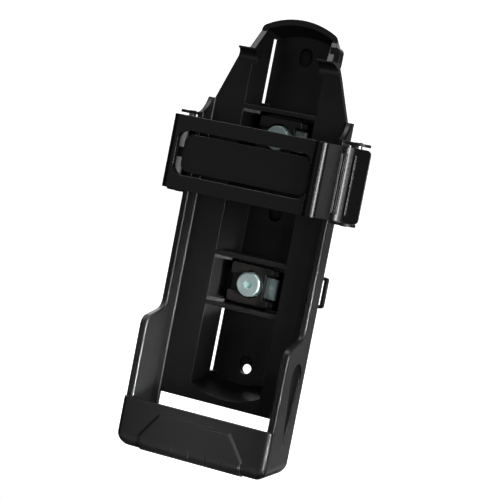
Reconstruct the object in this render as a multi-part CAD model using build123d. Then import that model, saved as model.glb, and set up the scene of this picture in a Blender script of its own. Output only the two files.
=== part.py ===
"""Frame holder for a folding bicycle lock: a moulded cradle with a hinged strap, a snap latch and two clamps."""
import os
from math import acos, asin, cos, degrees, radians, sin, sqrt

from build123d import *

os.makedirs("parts", exist_ok=True)

# All sizes are in millimetres. While a piece is drawn, y = 0 is the cradle floor, y grows towards the
# bicycle frame, x is the width and z runs along the holder. save() moves every piece so that the
# origin of the finished part is the middle of the bolt holes, on the face that meets the frame.

# Cradle floor and side walls
floor_half_width = 28.5        # inner corner of floor and wall
floor_thickness = 2.6
wall_knee_half_width = 28.9    # inner wall face where its flare ends
wall_knee_height = 5.0
wall_rim_half_width = 29.2
wall_base_half_width = 31.3    # outer face at the back edge
wall_front_half_width = 32.5   # outer face at the front
low_rim = 7.3                  # height of the side walls beside the strap
tall_rim = 22.5                # height of the side walls above the cup
step_low_z = -45.3
step_high_z = -49.4
step_radius = 4.2
ear_z = 41.2                   # top end of the side walls
ear_foot_z = 34.4
ear_lip = 0.6
ear_sag = 0.7
rim_radius = 0.8
floor_corner_radius = 0.8      # inside corner of floor and wall

# Cup that carries the lower end of the lock
cup_front = 25.0
cup_front_wall = 2.0
cup_rim_z = -81.6
cup_bottom_z = -101.3
cup_bottom_wall = 2.1
cup_edge_radius = 5.2
cup_corner_radius = 2.2
cup_inner_radius = 4.0
back_edge_radius = 0.7
floor_end_z = -80.3
drain_end_z = -92.0
grip_top_z = -86.3
grip_top_half_width = 15.0
grip_bottom_half_width = 22.0
grip_depth = 0.4
grip_line_pitch = 7.2
grip_line_count = 7
grip_line_width = 0.35
grip_line_depth = 0.3
side_dent_radius = 6.3
side_dent_y = -8.6
side_dent_z = -61.3
side_dent_tip_z = -90.0
side_dent_depth = 0.9

# Channel behind the floor, in which the bolts and clamps sit
channel_half_width = 15.5
channel_floor_half_width = 11.6
channel_depth = 17.3
channel_end = 77.5
channel_floor_end = 72.1
channel_end_radius = 32.0
channel_wall = 2.4
channel_floor_thickness = 2.2
channel_corner_radius = 3.0
back_y = channel_depth + channel_floor_thickness
bolt_pitch = 64.0
bolt_slot_width = 5.6
bolt_slot_length = 7.4
rib_thickness = 1.8
strap_slot_length = 26.4
strap_slot_mid_z = 55.9
strap_slot_height = 5.5
ramp_start_z = 63.4
ramp_end_z = 71.3
ramp_drop = 6.0

# Arms and hooks at the top
arm_base_half_width = 28.5
arm_top_half_width = 22.6
arm_taper_z = 57.6
hook_base_z = 57.5
hook_reach = 5.2
hook_tip_thickness = 0.7
hook_inner_x = 13.3
hook_top_half_width = 19.9
lug_rib_half_width = 19.7
lug_rib_bottom_z = 62.0
lug_rib_top_z = 69.4

# Hinge lugs on the side walls
hinge_x = 36.2
hinge_y = -1.5
lug_radius = 4.8
lug_thickness = 1.2
strap_bottom_z = 3.0
strap_height = 29.1
lug_gap = 0.9                  # strap end to lug
pin_diameter = 3.0
pin_fit = 0.02                 # radial, pin fixed in the lugs
running_fit = 0.06             # radial, moving piece on a pin or bead
pin_overhang = 0.3

# Strap
strap_front = 27.2
strap_thickness = 2.4
strap_left_x = -32.8
strap_knuckle_radius = 3.1
strap_corner_radius = 2.2
window_left_x = -29.0
window_right_x = 27.6
window_border = 5.7
window_radius = 4.2
bead_radius = 1.6
bead_x = 30.6
bead_y = -26.4
bead_web = 1.2
bead_web_angle = 168.0         # degrees from the front, towards the outside
seat_thickness = 1.5
pad_front = 23.0
pad_thickness = 2.0
pad_gap = 1.35
pad_radius = 3.4
pad_neck_height = 4.0

# Latch lever
barrel_radius = 2.9
barrel_gap = 0.12
barrel_start = -72.0           # degrees from the front, towards the outside
barrel_end = 142.0
lever_thickness = 2.0
lever_end_gap = 0.1
lever_bend = (36.2, -14.8)
lever_tab_end = (45.7, -12.6)
lever_bend_radius = 6.5
lever_corner_radius = 1.8
hook_clearance = 0.3
catch_thickness = 1.8
catch_lip = 1.9
grip_rib_radius = 0.5
grip_rib_margin = 2.8
grip_rib_steps = (9.4, 11.8, 16.0)   # distances from the barrel along the lever's outer face

# Frame clamps
clamp_pitch = 60.0
pocket_half_length = 9.4
ledge_height = 1.4              # snap ledges in the pocket corners, which hold the block
ledge_inner_x = 9.3
ledge_inner_y = 3.2
ledge_thickness = 1.4
block_half_width = 8.85
block_half_length = 7.9
block_front = 4.0
block_back = 12.0
block_flange_half_length = 9.1
block_flange_thickness = 2.0
block_channel_half = 5.4
block_channel_depth = 3.2
block_bridge_x = 6.5
block_notch_half = 3.6
block_bore_radius = 5.7
block_tab_length = 2.4
shelf_half_width = 8.0
shelf_depth = 2.0
screw_head_radius = 5.0
screw_head_front = 2.3
screw_head_height = 3.7
screw_radius = 2.5
screw_length = 11.0
screw_socket = 3.0             # across flats
screw_socket_depth = 2.0
screw_fit = 0.02               # radial, nut on the screw
screw_clearance = 0.1          # radial, other pieces on the screw
saddle_thickness = 1.2
saddle_half_length = 4.2
saddle_left_x = -4.2
saddle_bend_x = 6.8
saddle_end = (12.0, 3.7)
saddle_bend_radius = 4.0
yoke_half_width = 29.6
yoke_thickness = 2.2
yoke_half_length = 3.9
yoke_eye_x = 20.0
yoke_eye_top = 8.8
yoke_eye_bar = 1.3
yoke_eye_hole_width = 4.3
yoke_slot_clearance = 0.2
nut_size = 8.0
nut_thickness = 2.8


def save(shape, name):
    """Move a piece from the drawing position to the part's own origin and write it."""
    export_step(Pos(0, -back_y, 0) * shape, f"parts/{name}.step")


def block(x0, x1, y0, y1, z0, z1):
    """Box between two corners."""
    size = Box(abs(x1 - x0), abs(y1 - y0), abs(z1 - z0))
    return Pos((x0 + x1) / 2, (y0 + y1) / 2, (z0 + z1) / 2) * size


def side_face(outline):
    """Face in the side view: the outline's pairs are (y, z)."""
    return make_face(Plane.YZ * outline)


def across(face, x0, x1):
    """Carry a side-view face across the width, from x0 to x1."""
    return extrude(Pos(x0, 0, 0) * face, amount=x1 - x0, dir=(1, 0, 0))


def front_prism(face, y0, y1):
    """Carry a front-view face, drawn in x and z, from y0 to y1."""
    turned = Plane.XZ * face
    return extrude(Pos(0, y0, 0) * turned, amount=y1 - y0, dir=(0, 1, 0))


def along(face, z0, z1):
    """Carry a cross-section, drawn in x and y, from z0 to z1."""
    return extrude(Pos(0, 0, z0) * face, amount=z1 - z0, dir=(0, 0, 1))


def mirrored(shape):
    """The shape and its mirror image on the other side of the holder."""
    return shape + mirror(shape, Plane.YZ)


def channel_outline(half_width, end, y):
    """Outline of the channel at one depth: straight sides and arched ends."""
    drop = channel_end_radius - sqrt(channel_end_radius ** 2 - half_width ** 2)
    corner = end - drop
    edges = [
        Line((half_width, y, -corner), (half_width, y, corner)),
        ThreePointArc((half_width, y, corner), (0, y, end), (-half_width, y, corner)),
        Line((-half_width, y, corner), (-half_width, y, -corner)),
        ThreePointArc((-half_width, y, -corner), (0, y, -end), (half_width, y, -corner)),
    ]
    return Face(Wire(edges))


def channel_half_at(y):
    """Half the channel's width at a depth."""
    return channel_half_width - (channel_half_width - channel_floor_half_width) * y / channel_depth


def channel_end_at(y):
    """Half the channel's length at a depth."""
    return channel_end - (channel_end - channel_floor_end) * y / channel_depth


def channel_body(grow, y0, y1):
    """Drafted solid of the channel, grown sideways by a wall thickness, between two depths."""
    lower = channel_outline(channel_half_at(y0) + grow, channel_end_at(y0) + grow, y0)
    upper = channel_outline(channel_half_at(y1) + grow, channel_end_at(y1) + grow, y1)
    return Solid.make_loft([lower.outer_wire(), upper.outer_wire()], True)


def slanted_edges(shape):
    """Edges that run mainly from front to back."""
    return [e for e in shape.edges() if abs(e.tangent_at(0.5).Y) > 0.9]


def shell_outer(grow=0):
    """Outer block of floor, side walls and cup, with rounded cup edges; grow moves its front and bottom out."""
    front = -cup_front - grow
    section = Polygon(
        (-wall_base_half_width, floor_thickness), (wall_base_half_width, floor_thickness),
        (wall_front_half_width, front), (-wall_front_half_width, front), align=None)
    body = along(section, cup_bottom_z - grow, ear_z)
    upright = [e for e in body.edges() if abs(e.tangent_at(0.5).Z) > 0.9]
    body = fillet([e for e in upright if e.center().Y < -cup_front / 2], cup_corner_radius)
    back = [e for e in body.edges() if abs(e.tangent_at(0.5).Z) > 0.9 and e.center().Y > floor_thickness - 0.1]
    body = fillet(back, back_edge_radius)
    bottom = body.faces().sort_by(Axis.Z)[0]
    return fillet(bottom.edges(), cup_edge_radius)


def shell_inner():
    """Space that holds the lock: floor, flared walls and the inside of the cup."""
    front = -(cup_front - cup_front_wall)
    section = Polygon(
        (floor_half_width, 0), (wall_knee_half_width, -wall_knee_height), (wall_rim_half_width, front),
        (-wall_rim_half_width, front), (-wall_knee_half_width, -wall_knee_height), (-floor_half_width, 0),
        align=None)
    section = fillet([v for v in section.vertices() if v.Y > -0.1], floor_corner_radius)
    space = along(section, cup_bottom_z + cup_bottom_wall, ear_z + 5)
    bottom = space.faces().sort_by(Axis.Z)[0]
    edges = [e for e in bottom.edges() if e.center().Y < -wall_knee_height / 2 and e.length > 10]
    return fillet(edges, cup_inner_radius)


def front_cut():
    """What is cut from the front: it leaves the cup, the tall walls, the S-shaped step, the low walls and ears."""
    far = -60
    rim = FilletPolyline(
        (-tall_rim, cup_rim_z), (-tall_rim, step_high_z), (-low_rim, step_low_z),
        (-low_rim, ear_foot_z), radius=step_radius)
    middle = ((-low_rim - ear_lip) / 2 + ear_sag, (ear_foot_z + ear_z) / 2 - ear_sag)
    rim += ThreePointArc((-low_rim, ear_foot_z), middle, (-ear_lip, ear_z))
    rest = Polyline((-ear_lip, ear_z), (-ear_lip, ear_z + 20), (far, ear_z + 20), (far, cup_rim_z),
                    (-tall_rim, cup_rim_z))
    return across(side_face(rim + rest), -50, 50)


def round_rims(shell):
    """Round the outer and inner edges along the top of the side walls, from the cup to the ears."""
    rims = []
    for e in shell.edges():
        box = e.bounding_box()
        flat = box.size.X < 1.2
        on_wall = abs(e.center().X) > floor_half_width
        front = e.center().Y < -ear_lip + 0.2
        inside = box.min.Z > cup_rim_z - 0.01 and box.max.Z < ear_z + 0.01
        level = box.size.Z < 0.1
        if flat and on_wall and front and inside and not level:
            rims.append(e)
    return fillet(rims, rim_radius)


def cup_grip():
    """Slightly raised field on the cup's front and round its lower edge, with fine grooves for the fingers."""
    field = Polygon(
        (-grip_top_half_width, grip_top_z), (grip_top_half_width, grip_top_z),
        (grip_bottom_half_width, cup_bottom_z + cup_edge_radius),
        (grip_bottom_half_width, cup_bottom_z - grip_depth - 1),
        (-grip_bottom_half_width, cup_bottom_z - grip_depth - 1),
        (-grip_bottom_half_width, cup_bottom_z + cup_edge_radius), align=None)
    centre_y = -cup_front - grip_depth + cup_edge_radius
    centre_z = cup_bottom_z - grip_depth + cup_edge_radius
    pad = shell_outer(grip_depth) & front_prism(field, -cup_front - grip_depth - 1, centre_y)
    ring = Circle(cup_edge_radius + 1) - Circle(cup_edge_radius - grip_line_depth)
    ring = ring & Pos(-cup_edge_radius, -cup_edge_radius) * Rectangle(2 * cup_edge_radius, 2 * cup_edge_radius)
    ring = Plane.YZ * (Pos(centre_y, centre_z) * ring)
    for i in range(grip_line_count):
        x = (i - (grip_line_count - 1) / 2) * grip_line_pitch
        pad -= extrude(Pos(x - grip_line_width / 2, 0, 0) * ring, amount=grip_line_width, dir=(1, 0, 0))
    return pad - shell_inner()


def side_dent():
    """Drop-shaped dent in the outer face of a side wall, deepest at its round top."""
    length = side_dent_z - side_dent_tip_z
    angle = acos(side_dent_radius / length)
    dy = side_dent_radius * sin(angle)
    dz = side_dent_radius * cos(angle)
    left = (side_dent_y - dy, side_dent_z - dz)
    right = (side_dent_y + dy, side_dent_z - dz)
    edge = ThreePointArc(left, (side_dent_y, side_dent_z + side_dent_radius), right)
    edge += Polyline(right, (side_dent_y, side_dent_tip_z), left)
    drop = across(side_face(edge), wall_base_half_width - 2, 40)
    x = wall_base_half_width + 0.2
    wedge = Polygon(
        (x, side_dent_tip_z), (x - side_dent_depth, side_dent_z + side_dent_radius + 1),
        (x + 8, side_dent_z + side_dent_radius + 1), (x + 8, side_dent_tip_z), align=None)
    return drop & front_prism(wedge, -cup_front, floor_thickness)


def arms():
    """Tapered arms beside the channel, continuing the floor upwards."""
    outline = Polygon(
        (channel_half_width - 1, ear_z - 4), (arm_base_half_width, ear_z - 4), (arm_base_half_width, ear_z),
        (arm_top_half_width, arm_taper_z), (hook_top_half_width + 0.4, ramp_start_z),
        (channel_half_width - 1, ramp_start_z), align=None)
    return mirrored(front_prism(outline, 0, floor_thickness))


def hooks():
    """Curled lips at the top of the arms, which catch the lock's shoulder."""
    top = hook_base_z + hook_reach
    curl = Plane.YZ * (
        CenterArc((-hook_reach, hook_base_z), hook_reach, 0, 90)
        + Polyline((-hook_reach, top), (-hook_reach, top + hook_tip_thickness),
                   (floor_thickness, top + hook_tip_thickness), (floor_thickness, hook_base_z), (0, hook_base_z)))
    body = across(make_face(curl), hook_inner_x, arm_top_half_width + 1)
    trim = Polygon(
        (hook_inner_x - 1, hook_base_z - 5), (arm_top_half_width + 1.8, hook_base_z - 5),
        (hook_top_half_width, top + hook_tip_thickness + 1), (hook_inner_x - 1, top + hook_tip_thickness + 1),
        align=None)
    return mirrored(body & front_prism(trim, -10, 10))


def back_rib():
    """Rounded stiffening rib on the outside of the channel wall, behind the right hook."""
    inner = channel_half_at(ramp_drop) + channel_wall / 2
    plate = block(inner, lug_rib_half_width, floor_thickness - 0.2, ramp_drop + 0.8, lug_rib_bottom_z, lug_rib_top_z)
    outer = [e for e in plate.edges() if abs(e.tangent_at(0.5).Y) > 0.9 and e.center().X > inner + 0.5
             and e.center().Z > lug_rib_bottom_z + 1]
    return fillet(outer, 2.0)


def clamp_centres():
    return [clamp_pitch / 2, -clamp_pitch / 2]


def channel_space():
    """The channel's hollow, divided by ribs into three sections and two clamp pockets."""
    space = channel_body(0, -0.2, channel_depth)
    parts = []
    outer_edge = clamp_pitch / 2 + pocket_half_length + rib_thickness
    inner_edge = clamp_pitch / 2 - pocket_half_length - rib_thickness
    parts.append(space & block(-30, 30, -2, 30, outer_edge, 100))
    parts.append(space & block(-30, 30, -2, 30, -inner_edge, inner_edge))
    parts.append(space & block(-30, 30, -2, 30, -100, -outer_edge))
    for zc in clamp_centres():
        pocket = space & block(-30, 30, -2, 30, zc - pocket_half_length, zc + pocket_half_length)
        for end in (-1, 1):
            z0 = zc + end * (pocket_half_length + 1)
            z1 = zc + end * (pocket_half_length - shelf_depth)
            pocket -= block(-shelf_half_width, shelf_half_width, block_back, channel_depth + 1, z0, z1)
            pocket -= snap_ledges(z0, zc + end * (pocket_half_length - ledge_height))
        parts.append(pocket)
    return parts


def snap_ledges(z0, z1):
    """Pair of sloping ledges from the channel's rim to the clamp block's corners."""
    rim = channel_half_width + 1
    slope = ledge_inner_y / (channel_half_width - ledge_inner_x)
    outline = Polygon(
        (rim, -slope), (ledge_inner_x, ledge_inner_y), (ledge_inner_x, ledge_inner_y + ledge_thickness),
        (rim, ledge_thickness - slope), align=None)
    return mirrored(along(outline, min(z0, z1), max(z0, z1)))


def lugs():
    """Thin hinge lugs, in pairs above and below the strap, on both side walls."""
    plate = Circle(lug_radius) + Pos(-(hinge_x - wall_base_half_width) / 2 - 0.4, 0) * Rectangle(
        hinge_x - wall_base_half_width + 0.8, 2 * lug_radius)
    plate = (Pos(hinge_x, hinge_y) * plate) - Pos(hinge_x, hinge_y) * Circle(pin_diameter / 2 + pin_fit)
    limit = Pos(35, -20 + floor_thickness) * Rectangle(40, 40)
    plate = plate & limit
    bottom = strap_bottom_z - lug_gap / 2
    top = strap_bottom_z + strap_height + lug_gap
    pair = along(plate, bottom - lug_thickness, bottom) + along(plate, top, top + lug_thickness)
    return mirrored(pair)


def cradle_body():
    """The cradle: one moulding in glass-filled nylon."""
    body = round_rims(shell_outer() - shell_inner() - front_cut())
    body -= block(-floor_half_width, floor_half_width, -0.01, 10, drain_end_z, floor_end_z)
    channel = channel_body(channel_wall, 0, back_y)
    channel = fillet(slanted_edges(channel), channel_corner_radius)
    ramp = Plane.YZ * Polyline(
        (-5, ramp_start_z), (0, ramp_start_z), (ramp_drop, ramp_end_z), (ramp_drop, 100), (-5, 100),
        (-5, ramp_start_z))
    channel -= across(make_face(ramp), -40, 40)
    body += channel
    body += arms()
    for space in channel_space():
        body -= space
    body += hooks()
    body += back_rib()
    body += lugs()
    for z in (-bolt_pitch, 0, bolt_pitch):
        slot = Rot(0, 0, 90) * SlotOverall(bolt_slot_length, bolt_slot_width)
        body -= Pos(0, 0, z) * front_prism(slot, channel_depth - 1, back_y + 1)
    for z in (-strap_slot_mid_z, strap_slot_mid_z):
        body -= block(-22, 22, channel_depth - strap_slot_height, channel_depth,
                      z - strap_slot_length / 2, z + strap_slot_length / 2)
    for zc in clamp_centres():
        body -= block(-24, 24, block_back - yoke_slot_clearance, block_back + yoke_thickness + yoke_slot_clearance,
                      zc - yoke_half_length - yoke_slot_clearance, zc + yoke_half_length + yoke_slot_clearance)
    body -= mirrored(side_dent())
    body += cup_grip()
    return body


def around_bead(radius, angle):
    """Point at a distance from the bead; the angle counts from the front towards the outside."""
    a = radians(angle)
    return (bead_x + radius * sin(a), bead_y - radius * cos(a))


def sector(radius, start, end):
    """Pie slice about the bead."""
    steps = 16
    rim = [around_bead(radius, start + (end - start) * i / steps) for i in range(steps + 1)]
    return Polygon((bead_x, bead_y), *rim, align=None)


def strap_band():
    """Stiff strap: a leg from the hinge, a windowed front plate, a seat and a round bead for the lever."""
    half = strap_thickness / 2
    leg_x = strap_left_x + half
    plate_y = -strap_front + half
    path = FilletPolyline((-hinge_x, hinge_y), (leg_x, plate_y), (bead_x, plate_y), radius=strap_corner_radius)
    section = trace(path, strap_thickness)
    section += Pos(-hinge_x, hinge_y) * Circle(strap_knuckle_radius)
    section -= Pos(-hinge_x, hinge_y) * Circle(pin_diameter / 2 + running_fit)
    room = barrel_radius + barrel_gap
    section -= Pos(bead_x, bead_y) * Circle(room)
    section -= Pos(bead_x + room, bead_y) * Rectangle(2 * room, 4 * room)
    seat = Circle(room + seat_thickness) - Circle(room)
    section += (Pos(bead_x, bead_y) * seat) & sector(4 * room, bead_web_angle - 5, 275)
    web = Polyline(around_bead(0, 0), around_bead(room + seat_thickness / 2, bead_web_angle))
    section += trace(web, bead_web)
    section += Pos(bead_x, bead_y) * Circle(bead_radius)
    body = along(section, strap_bottom_z, strap_bottom_z + strap_height)
    width = window_right_x - window_left_x
    height = strap_height - 2 * window_border
    window = RectangleRounded(width, height, window_radius)
    window = Pos((window_left_x + window_right_x) / 2, strap_bottom_z + strap_height / 2) * window
    return body - front_prism(window, -strap_front - 3, -strap_front + strap_thickness + 0.1)


def strap_pad():
    """Soft tongue set back in the strap's window, which presses on the lock."""
    left = window_left_x + pad_gap
    right = window_right_x - pad_gap
    height = strap_height - 2 * window_border - 2 * pad_gap
    mid_z = strap_bottom_z + strap_height / 2
    plate = Pos((left + right) / 2, mid_z) * RectangleRounded(right - left, height, pad_radius)
    run = (strap_left_x + strap_thickness / 2 + hinge_x) / (strap_front - strap_thickness / 2 + hinge_y)
    lean = sqrt(1 + run ** 2) * strap_thickness / 2
    mid_y = -pad_front + pad_thickness / 2
    neck_x = -hinge_x + (hinge_y - mid_y) * run + lean + run * pad_thickness / 2
    plate += Pos((neck_x + left + 2) / 2, mid_z) * Rectangle(left + 2 - neck_x, pad_neck_height)
    return front_prism(plate, -pad_front, -pad_front + pad_thickness)


def lever_outline():
    """Middle line of the lever: tangent to the barrel, then bent outwards into the finger tab."""
    dx = lever_bend[0] - bead_x
    dy = lever_bend[1] - bead_y
    reach = sqrt(dx * dx + dy * dy)
    middle = barrel_radius - lever_thickness / 2
    heading = degrees(asin(dx / reach)) - degrees(asin(middle / reach))
    start = around_bead(middle, 90 - heading)
    return FilletPolyline(start, lever_bend, lever_tab_end, radius=lever_bend_radius), 90 - heading


def latch_lever():
    """Lever clipped round the strap's bead: it runs back along the side and hooks behind the catch pin."""
    inner = bead_radius + running_fit
    ring = (Circle(barrel_radius) - Circle(inner))
    section = (Pos(bead_x, bead_y) * ring) & sector(3 * barrel_radius, barrel_start, barrel_end)
    path, facing = lever_outline()
    section += trace(path, lever_thickness) - Pos(bead_x, bead_y) * Circle(inner)
    pin_edge = pin_diameter / 2 + hook_clearance
    leg_x = hinge_x + pin_edge + catch_thickness / 2
    lip_y = hinge_y + pin_edge + catch_thickness / 2
    tip_x = hinge_x - catch_lip + catch_thickness
    section += trace(FilletPolyline(
        (leg_x, lever_bend[1] + 1), (leg_x, lip_y), (tip_x, lip_y), radius=1.0), catch_thickness)
    z0 = strap_bottom_z + lever_end_gap
    z1 = strap_bottom_z + strap_height - lever_end_gap
    body = along(section, z0, z1)
    ends = [e for e in body.edges() if abs(e.tangent_at(0.5).Y) > 0.5 and e.center().X > lever_tab_end[0] - 0.6
            and (e.center().Z < z0 + 0.1 or e.center().Z > z1 - 0.1)]
    body = fillet(ends, lever_corner_radius)
    for step in grip_rib_steps:
        share = step / path.length
        spot = path @ share
        across_path = path % share
        x = spot.X + across_path.Y * lever_thickness / 2
        y = spot.Y - across_path.X * lever_thickness / 2
        body += along(Pos(x, y) * Circle(grip_rib_radius), z0 + grip_rib_margin, z1 - grip_rib_margin)
    return body


def hinge_pin(x):
    """Steel pin held in a pair of lugs."""
    bottom = strap_bottom_z - lug_gap / 2 - lug_thickness - pin_overhang
    top = strap_bottom_z + strap_height + lug_gap + lug_thickness + pin_overhang
    pin = along(Pos(x, hinge_y) * Circle(pin_diameter / 2), bottom, top)
    return chamfer(pin.faces().filter_by(Axis.Z).edges(), 0.25)


def clamp_block(zc):
    """Moulded clamp block: a round seat for the screw head, a slot for the saddle and open ends between bars."""
    body = block(-block_half_width, block_half_width, block_front, block_back,
                 zc - block_half_length, zc + block_half_length)
    corners = [e for e in body.edges() if abs(e.tangent_at(0.5).Y) > 0.9]
    body = fillet(corners, 0.8)
    body += block(-block_half_width, block_half_width, block_back - block_flange_thickness, block_back,
                  zc - block_flange_half_length, zc + block_flange_half_length)
    for end in (-1, 1):
        z1 = zc + end * (block_half_length - 0.4)
        z0 = zc + end * block_channel_half
        body += block(block_half_width - 0.5, block_half_width + block_tab_length,
                      block_front + 0.6, block_front + block_channel_depth, z0, z1)
    channel_floor = screw_head_front + screw_head_height + saddle_thickness + 0.1
    strip = saddle_half_length + 0.2
    body -= block(saddle_left_x - 0.2, 20, screw_head_front + screw_head_height - 0.1, channel_floor,
                  zc - strip, zc + strip)
    body -= block(block_bridge_x, 20, block_front - 1, channel_floor, zc - block_channel_half, zc + block_channel_half)
    body -= block(-20, 0, block_front - 1, channel_floor, zc - block_notch_half, zc + block_notch_half)
    seat = front_prism(Circle(block_bore_radius), block_front - 1, channel_floor)
    hole = front_prism(Circle(screw_radius + screw_clearance), block_front, block_back + 1)
    return body - Pos(0, 0, zc) * seat - Pos(0, 0, zc) * hole


def clamp_screw(zc):
    """Low-head socket screw."""
    under = screw_head_front + screw_head_height
    head = front_prism(Circle(screw_head_radius), screw_head_front, under)
    front = [e for e in head.edges() if e.center().Y < screw_head_front + 0.1]
    head = fillet(front, 0.6)
    shank = front_prism(Circle(screw_radius), under - 0.01, under + screw_length)
    socket = front_prism(
        RegularPolygon(screw_socket / 2, 6, major_radius=False), screw_head_front - 1,
        screw_head_front + screw_socket_depth)
    return Pos(0, 0, zc) * (head + shank - socket)


def clamp_saddle(zc):
    """Bent strip under the screw head, with one end turned up."""
    y = screw_head_front + screw_head_height + saddle_thickness / 2
    path = FilletPolyline((saddle_left_x, y), (saddle_bend_x, y), saddle_end, radius=saddle_bend_radius)
    body = along(trace(path, saddle_thickness), zc - saddle_half_length, zc + saddle_half_length)
    return body - Pos(0, 0, zc) * front_prism(Circle(screw_radius + screw_clearance), 0, 20)


def clamp_yoke(zc, up):
    """Cross bar behind the block, out through the channel walls to a strap eye on each side.

    The eyes reach towards the middle of the holder: up is 1 on the lower clamp and -1 on the upper one."""
    bar = Rectangle(2 * (yoke_eye_x + 1), 2 * yoke_half_length)
    eye_height = yoke_eye_top + yoke_half_length
    eye_width = yoke_half_width - yoke_eye_x
    eye_mid = up * (yoke_eye_top - yoke_half_length) / 2
    for side in (-1, 1):
        eye = RectangleRounded(eye_width, eye_height, 1.0)
        hole_x = yoke_half_width - yoke_eye_bar - yoke_eye_hole_width / 2
        bar += Pos(side * (yoke_eye_x + eye_width / 2), eye_mid) * eye
        bar -= Pos(side * hole_x, eye_mid) * Rectangle(yoke_eye_hole_width, eye_height - 2 * yoke_eye_bar)
    bar -= Circle(screw_radius + screw_clearance)
    return Pos(0, 0, zc) * front_prism(bar, block_back, block_back + yoke_thickness)


def clamp_nut(zc):
    """Square nut behind the yoke."""
    start = block_back + yoke_thickness
    plate = Rectangle(nut_size, nut_size) - Circle(screw_radius + screw_fit)
    return Pos(0, 0, zc) * front_prism(plate, start, start + nut_thickness)


save(cradle_body(), "cradle_body")
save(strap_band(), "strap_band")
save(strap_pad(), "strap_pad")
save(latch_lever(), "latch_lever")
save(hinge_pin(-hinge_x), "strap_hinge_pin")
save(hinge_pin(hinge_x), "catch_pin")
for place, zc in zip(("upper", "lower"), clamp_centres()):
    save(clamp_block(zc), f"{place}_clamp_block")
    save(clamp_screw(zc), f"{place}_clamp_screw")
    save(clamp_saddle(zc), f"{place}_clamp_saddle")
    save(clamp_yoke(zc, -1 if zc > 0 else 1), f"{place}_clamp_yoke")
    save(clamp_nut(zc), f"{place}_clamp_nut")
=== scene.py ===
"""Looks of a frame holder for a folding bicycle lock: camera, studio and the finish of every piece."""
from math import cos, pi, radians, sin

import bpy
import numpy as np
from mathutils import Matrix, Vector


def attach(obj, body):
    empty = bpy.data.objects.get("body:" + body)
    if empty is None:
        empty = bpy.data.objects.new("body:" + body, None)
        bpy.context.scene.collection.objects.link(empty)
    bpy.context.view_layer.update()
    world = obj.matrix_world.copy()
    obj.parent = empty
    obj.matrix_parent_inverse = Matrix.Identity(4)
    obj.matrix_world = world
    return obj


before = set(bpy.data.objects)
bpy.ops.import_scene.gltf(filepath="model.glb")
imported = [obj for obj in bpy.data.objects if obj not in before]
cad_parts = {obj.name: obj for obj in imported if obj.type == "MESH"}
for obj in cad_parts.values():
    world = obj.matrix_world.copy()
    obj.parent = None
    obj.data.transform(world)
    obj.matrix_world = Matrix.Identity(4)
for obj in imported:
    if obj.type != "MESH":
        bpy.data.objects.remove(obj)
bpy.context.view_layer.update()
scene = bpy.context.scene
scene.view_settings.view_transform = "Standard"

# Camera
# A long lens a little to the right of the holder and slightly above it, turned so that the holder leans
# to the left at its top, as it lies in the photograph.
camera_place = Vector((0.2688, -0.6983, 0.0334))
camera_target = Vector((-0.000948, -0.0195, -0.01607))
camera_lean = radians(11.05)
focal_pixels = 1827.1
image_pixels = 500.0
camera_data = bpy.data.cameras.new("photo_camera")
camera_data.sensor_width = 36.0
camera_data.lens = camera_data.sensor_width * focal_pixels / image_pixels
camera_data.clip_start = 0.01
camera = bpy.data.objects.new("photo_camera", camera_data)
look = (camera_target - camera_place).normalized()
right = look.cross(Vector((0, 0, 1))).normalized()
up = right.cross(look)
right_leaning = right * cos(camera_lean) + up * sin(camera_lean)
up_leaning = up * cos(camera_lean) - right * sin(camera_lean)
turn = Matrix((right_leaning, up_leaning, -look)).transposed().to_4x4()
camera.matrix_world = Matrix.Translation(camera_place) @ turn
scene.collection.objects.link(camera)
scene.camera = camera


# Studio
# One roll of pale paper hangs behind the holder and curves forward onto the table; the room around it is dark.
# A tall narrow lamp at the right draws bright lines along the moulded edges, wide soft boxes fill the rest,
# and three lamps behind fine grids reach the walls inside the cup and the channel.
def add_node(tree, kind, settings=None, links=None):
    """Adds one node: settings by socket or property name, links by socket name from (node, output)."""
    node = tree.nodes.new(kind)
    for name, value in (settings or {}).items():
        if isinstance(name, int) or name in node.inputs:
            node.inputs[name].default_value = value
        else:
            setattr(node, name, value)
    for name, (source, output) in (links or {}).items():
        tree.links.new(source.outputs[output], node.inputs[name])
    return node


def from_hex(text):
    """sRGB hex to linear RGBA."""
    values = [int(text[i:i + 2], 16) / 255.0 for i in (1, 3, 5)]
    return tuple([v / 12.92 if v <= 0.04045 else ((v + 0.055) / 1.055) ** 2.4 for v in values] + [1.0])


def empty_material(name):
    material = bpy.data.materials.new(name)
    material.use_nodes = True
    material.node_tree.nodes.clear()
    return material, material.node_tree


def sweep_mesh(name, left, right, profile):
    """Sheet of paper whose cross-section is the profile's (y, z) points, carried straight along X."""
    line = np.array(profile)
    points = np.empty((len(line), 2, 3))
    points[:, :, 0] = (left, right)
    points[:, :, 1] = line[:, :1]
    points[:, :, 2] = line[:, 1:]
    rows = np.arange(len(line) - 1)
    faces = np.stack([2 * rows, 2 * rows + 1, 2 * rows + 3, 2 * rows + 2], axis=1)
    mesh = bpy.data.meshes.new(name)
    mesh.from_pydata(points.reshape(-1, 3).tolist(), [], faces.tolist())
    mesh.polygons.foreach_set("use_smooth", np.ones(len(mesh.polygons), dtype=bool))
    return mesh


def seen_as_background(tree, unlit, white):
    """Mixes in the white shader for rays from the camera, from polished metal and through clear pieces."""
    ray = add_node(tree, "ShaderNodeLightPath")
    seen = add_node(tree, "ShaderNodeMath", {"operation": "MAXIMUM"},
                    {0: (ray, "Is Camera Ray"), 1: (ray, "Is Glossy Ray")})
    seen = add_node(tree, "ShaderNodeMath", {"operation": "MAXIMUM"},
                    {0: (seen, 0), 1: (ray, "Is Transmission Ray")})
    return add_node(tree, "ShaderNodeMixShader", None, {0: (seen, 0), 1: (unlit, 0), 2: (white, 0)})


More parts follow.
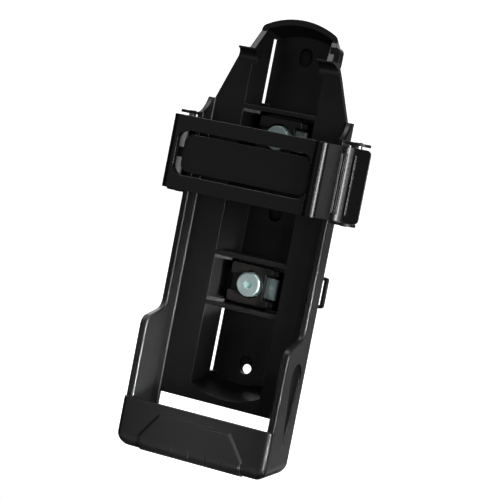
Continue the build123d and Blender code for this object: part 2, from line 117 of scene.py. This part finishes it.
paper, tree = empty_material("matt_studio_paper")
diffuse = add_node(tree, "ShaderNodeBsdfDiffuse", {"Color": from_hex("#f4f4f4")})
lift = add_node(tree, "ShaderNodeEmission", {"Color": (1, 1, 1, 1), "Strength": 0.9})
white = add_node(tree, "ShaderNodeAddShader", None, {0: (diffuse, 0), 1: (lift, 0)})
shown = seen_as_background(tree, diffuse, white)
add_node(tree, "ShaderNodeOutputMaterial", None, {"Surface": (shown, 0)})

floor_z = -0.30
front_y = 0.6
back_y = 1.8
paper_top = 2.4
paper_left = -1.9
paper_right = 0.25
bend_radius = 0.6
quarter_turn = np.linspace(0, pi / 2, 24)
bend = [(back_y + bend_radius * (sin(a) - 1), floor_z + bend_radius * (1 - cos(a))) for a in quarter_turn]
sweep = [(front_y, floor_z)] + bend + [(back_y, paper_top)]
floor = bpy.data.objects.new("studio_sweep", sweep_mesh("studio_sweep", paper_left, paper_right, sweep))
floor.data.materials.append(paper)
scene.collection.objects.link(floor)

world = bpy.data.worlds.new("studio_air")
world.use_nodes = True
world.node_tree.nodes.clear()
rays = add_node(world.node_tree, "ShaderNodeLightPath")
room = add_node(world.node_tree, "ShaderNodeBackground", {"Color": (1, 1, 1, 1), "Strength": 0.012})
plain_white = add_node(world.node_tree, "ShaderNodeBackground", {"Color": (1, 1, 1, 1), "Strength": 1.0})
air = add_node(world.node_tree, "ShaderNodeMixShader", None,
               {0: (rays, "Is Camera Ray"), 1: (room, 0), 2: (plain_white, 0)})
add_node(world.node_tree, "ShaderNodeOutputWorld", None, {"Surface": (air, 0)})
scene.world = world


def soft_box(name, place, aim, width, height, power, spread=180.0):
    """Area lamp at a place, turned to its aim; the spread in degrees is the opening of its grid."""
    lamp = bpy.data.lights.new(name, "AREA")
    lamp.shape = "RECTANGLE"
    lamp.size = width
    lamp.size_y = height
    lamp.energy = power
    lamp.spread = radians(spread)
    piece = bpy.data.objects.new(name, lamp)
    away = Vector(place) - Vector(aim)
    piece.matrix_world = Matrix.Translation(place) @ away.to_track_quat("Z", "Y").to_matrix().to_4x4()
    scene.collection.objects.link(piece)


def around(azimuth, elevation, distance):
    """Place on a sphere about the holder; azimuth in degrees counts from the front towards the right."""
    a, e = radians(azimuth), radians(elevation)
    return (distance * sin(a) * cos(e), -distance * cos(a) * cos(e), distance * sin(e))


middle = (0.0, 0.0, 0.0)
far = 1.6
soft_box("strip_right", around(33, 8, far), middle, width=0.06, height=1.6, power=6)
soft_box("top_left", around(-50, 66, far), middle, width=0.9, height=0.7, power=12)
soft_box("front_left", around(-30, 10, far), middle, width=0.8, height=1.2, power=0.8)
soft_box("low_front", around(-8, -38, far), middle, width=1.0, height=0.15, power=2.0)
soft_box("low_right", (0.42, -0.26, -0.05), (-0.02, -0.01, -0.075),
         width=0.25, height=0.25, power=0.2, spread=28)
soft_box("grid_cup", (0.534, -0.239, -0.12), (-0.030, -0.034, -0.076),
         width=0.01, height=0.06, power=0.026, spread=3)
soft_box("grid_channel", (0.532, -0.255, -0.06), (-0.016, -0.011, -0.034),
         width=0.01, height=0.03, power=0.006, spread=3)
soft_box("behind_left", around(-140, 20, far), middle, width=0.8, height=1.2, power=10)
soft_box("behind_right", around(125, 15, far), middle, width=0.5, height=1.2, power=1.5)


# Cradle
# One injection moulding in black glass-filled nylon: fine spark-eroded grain from the mould, which gives
# a low, broad sheen, and edges that are rounded by a few tenths of a millimetre.
def glass_filled_nylon(name, colour="#0b0b0b", roughness=0.42, grain=0.00045, relief=0.3, edge=0.0003):
    """Moulded glass-filled nylon. Grain is the texture's spacing in metres (about twice the real 0.2 mm, so
    that it shows), relief its strength and edge the radius of the moulded edges."""
    material, tree = empty_material(name)
    where = add_node(tree, "ShaderNodeTexCoord")
    fine = add_node(tree, "ShaderNodeTexNoise", {"Scale": 1.0 / grain, "Detail": 2.0, "Roughness": 0.6},
                    {"Vector": (where, "Object")})
    # Clouds about 26 mm across, where the glass lies nearer to the surface or deeper.
    cloud = add_node(tree, "ShaderNodeTexNoise", {"Scale": 38.0, "Detail": 3.0}, {"Vector": (where, "Object")})
    round_edge = add_node(tree, "ShaderNodeBevel", {"samples": 6, "Radius": edge})
    bump = add_node(tree, "ShaderNodeBump", {"Strength": relief, "Distance": 0.00005},
                    {"Height": (fine, "Fac"), "Normal": (round_edge, "Normal")})
    darker, lighter = [tuple([c * share for c in from_hex(colour)[:3]] + [1.0]) for share in (0.86, 1.16)]
    tone = add_node(tree, "ShaderNodeMixRGB", {"Color1": darker, "Color2": lighter}, {"Fac": (cloud, "Fac")})
    smoother, rougher = roughness * 0.96, roughness * 1.04
    rough = add_node(tree, "ShaderNodeMapRange",
                     {"From Min": 0.3, "From Max": 0.7, "To Min": smoother, "To Max": rougher},
                     {"Value": (fine, "Fac")})
    nylon = add_node(tree, "ShaderNodeBsdfPrincipled",
                     {"IOR": 1.53, "Metallic": 0.0, "Specular IOR Level": 0.42},
                     {"Base Color": (tone, "Color"), "Roughness": (rough, "Result"), "Normal": (bump, "Normal")})
    add_node(tree, "ShaderNodeOutputMaterial", None, {"Surface": (nylon, "BSDF")})
    return material


def finish_node(name, material):
    """Gives a node of the model its finish."""
    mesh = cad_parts[name].data
    mesh.materials.clear()
    mesh.materials.append(material)


black_nylon = glass_filled_nylon("black_glass_filled_nylon")
finish_node("cradle_body", black_nylon)

# Cup border
# The raised finger field on the cup's front falls off to the cup in a slope a millimetre wide, moulded with
# the cradle in the same nylon.
def sloping_border(name, path, width, high, low, root):
    """A wedge-shaped profile carried along the path of (x, z) points: at each point it is turned to the bisector
    of the two stretches that meet there, so that the corners are mitred. high, low and root are places along Y:
    the slope's upper edge, its foot and the wedge's back."""
    line = np.array(path)
    along = np.diff(line, axis=0)
    along /= np.linalg.norm(along, axis=1)[:, None]
    outward = np.stack([-along[:, 1], along[:, 0]], 1)
    before, after = np.vstack([outward[:1], outward]), np.vstack([outward, outward[-1:]])
    mitre = (before + after) / (1.0 + np.sum(before * after, axis=1))[:, None]
    profile = np.array([(0.0, high), (width, low), (width, root), (0.0, root)])
    flat = line[:, None, :] + profile[None, :, :1] * mitre[:, None, :]
    points = np.stack([flat[..., 0], np.broadcast_to(profile[:, 1], flat.shape[:2]), flat[..., 1]], -1)
    count = len(line)
    step, corner_index = np.meshgrid(np.arange(count - 1), np.arange(4), indexing="ij")
    beside = (corner_index + 1) % 4
    near, far_ring = 4 * step, 4 * step + 4
    faces = np.stack([near + corner_index, near + beside, far_ring + beside, far_ring + corner_index], -1)
    last = 4 * (count - 1)
    ends = [[3, 2, 1, 0], [last, last + 1, last + 2, last + 3]]
    mesh = bpy.data.meshes.new(name)
    mesh.from_pydata(points.reshape(-1, 3).tolist(), [], faces.reshape(-1, 4).tolist() + ends)
    mesh.update()
    return mesh


field_path = [(-0.0220, -0.0961), (-0.0150, -0.0863), (0.0150, -0.0863), (0.0220, -0.0961)]
cup_border = bpy.data.objects.new("cup_field_border", sloping_border(
    "cup_field_border", field_path, width=0.0011, high=-0.0449, low=-0.04452, root=-0.0442))
cup_border.data.materials.append(black_nylon)
scene.collection.objects.link(cup_border)
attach(cup_border, "cradle")

# Painted shade sheet
# A thin die-cut sheet, near black and rough, laid at the back of the channel where the channel lies in shade;
# its dark colour is painted shade. It is pierced at the lowest bolt slot, and the bolts push through it at the
# others.
def pierced_sheet(name, half_width, bottom, top, corner, hole_z, hole_radius, front, back):
    """Rounded rectangle with a round hole: each angle about the hole's centre, 8 degrees apart on the straight
    sides, gives one point on the hole and one on the outline, and the ring of four points (hole and outline,
    front and back) is carried round."""
    below = np.radians(np.arange(-44.0, 45.0, 8.0))
    beside_hole = np.radians(np.arange(-16.0, 86.0, 8.0))
    turn = np.radians(np.linspace(0.0, 90.0, 7))
    base_x = (hole_z - bottom) * np.tan(below)
    base_x = base_x[np.abs(base_x) < half_width - corner]
    base = np.stack([base_x, np.full(len(base_x), bottom)], 1)
    side_z = hole_z + half_width * np.tan(beside_hole)
    side_z = side_z[(side_z > bottom + corner) & (side_z < top - corner)]
    side = np.stack([np.full(len(side_z), half_width), side_z], 1)
    corner_x = half_width - corner
    lower = np.stack([corner_x + corner * np.sin(turn), bottom + corner - corner * np.cos(turn)], 1)
    upper = np.stack([corner_x + corner * np.cos(turn), top - corner + corner * np.sin(turn)], 1)
    right = np.concatenate([lower, side, upper])
    outline = np.concatenate([base, right, right[::-1] * (-1, 1)])
    away = outline - (0.0, hole_z)
    hole = away / np.linalg.norm(away, axis=1)[:, None] * hole_radius + (0.0, hole_z)
    rings = [(hole, front), (outline, front), (outline, back), (hole, back)]
    points = np.stack([np.insert(flat, 1, y, axis=1) for flat, y in rings], 1)
    count = len(outline)
    step, corner_index = np.meshgrid(np.arange(count), np.arange(4), indexing="ij")
    near, far_ring, beside = 4 * step, 4 * ((step + 1) % count), (corner_index + 1) % 4
    faces = np.stack([near + corner_index, far_ring + corner_index, far_ring + beside, near + beside], -1)
    mesh = bpy.data.meshes.new(name)
    mesh.from_pydata(points.reshape(-1, 3).tolist(), [], faces.reshape(-1, 4).tolist())
    mesh.update()
    return mesh


# Near-black rough finish of the sheet: painted shade at the back of the channel.
painted_shade_finish = glass_filled_nylon("near_black_painted_shade", "#020202", 0.75)
channel_shade_piece = bpy.data.objects.new("painted_shade_sheet", pierced_sheet(
    "painted_shade_sheet", half_width=0.0095, bottom=-0.0703, top=0.0700, corner=0.0040,
    hole_z=-0.0658, hole_radius=0.0020, front=0.0, back=0.0008))
channel_shade_piece.data.materials.append(painted_shade_finish)
scene.collection.objects.link(channel_shade_piece)
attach(channel_shade_piece, "cradle")

# Strap
# A stiff moulded strap in the same nylon from a polished mould, with a window; it turns on a steel pin at the
# left and carries the lever's bead at the right.
strap_nylon = glass_filled_nylon("black_nylon_strap", "#0c0c0c", 0.28, relief=0.08, edge=0.0004)
finish_node("strap_band", strap_nylon)

# Pad
# A softer tongue of black thermoplastic elastomer, moulded into the strap's window. It presses on the lock
# and keeps it from rattling.
pad_rubber = glass_filled_nylon("black_soft_elastomer", "#0c0c0c", 0.32, relief=0.1)
finish_node("strap_pad", pad_rubber)

# Lever
# The latch lever, moulded in the same polished nylon and snapped onto the strap's bead, on which it turns.
# Its hook springs over the catch pin.
finish_node("latch_lever", strap_nylon)


# Pins
# Plain drawn steel pins, cut and chamfered, pressed into the cradle's lugs: the hinge at the left, the catch
# at the right.
def metal(name, colour, roughness, edge=0.0003, scratch=0.0012, tint=None):
    """Plated or drawn steel: fine uneven sheen on a bright metal. Edge is the radius of its edges, scratch the
    spacing of its unevenness, both in metres, and tint the plating's second colour."""
    material, tree = empty_material(name)
    where = add_node(tree, "ShaderNodeTexCoord")
    wear = add_node(tree, "ShaderNodeTexNoise", {"Scale": 1.0 / scratch, "Detail": 4.0},
                    {"Vector": (where, "Object")})
    round_edge = add_node(tree, "ShaderNodeBevel", {"samples": 6, "Radius": edge})
    bump = add_node(tree, "ShaderNodeBump", {"Strength": 0.12, "Distance": 0.00005},
                    {"Height": (wear, "Fac"), "Normal": (round_edge, "Normal")})
    tone = add_node(tree, "ShaderNodeMixRGB", {"Color1": from_hex(colour), "Color2": from_hex(tint or colour)},
                    {"Fac": (wear, "Fac")})
    bright, dull = roughness - 0.04, roughness + 0.06
    rough = add_node(tree, "ShaderNodeMapRange",
                     {"From Min": 0.3, "From Max": 0.7, "To Min": bright, "To Max": dull},
                     {"Value": (wear, "Fac")})
    steel = add_node(tree, "ShaderNodeBsdfPrincipled", {"Metallic": 1.0},
                     {"Base Color": (tone, "Color"), "Roughness": (rough, "Result"), "Normal": (bump, "Normal")})
    add_node(tree, "ShaderNodeOutputMaterial", None, {"Surface": (steel, "BSDF")})
    return material


drawn_steel = metal("drawn_pin_steel", "#c4c6c8", 0.3)
for pin in ("strap_hinge_pin", "catch_pin"):
    finish_node(pin, drawn_steel)

# Clamps
# Two clamp units: a nylon block in its pocket, a low-head socket screw and a bent saddle in zinc-plated steel
# with a blue-white passivation, a nylon yoke behind and a square nut.
zinc = metal("blue_white_zinc_plate", "#dbe8e7", 0.46, tint="#c6e4e2")
block_nylon = glass_filled_nylon("black_nylon_block", "#131110", 0.34, relief=0.1, edge=0.0004)
for place in ("upper", "lower"):
    finish_node(place + "_clamp_block", block_nylon)
    finish_node(place + "_clamp_yoke", black_nylon)
    for part in ("screw", "saddle", "nut"):
        finish_node(place + "_clamp_" + part, zinc)
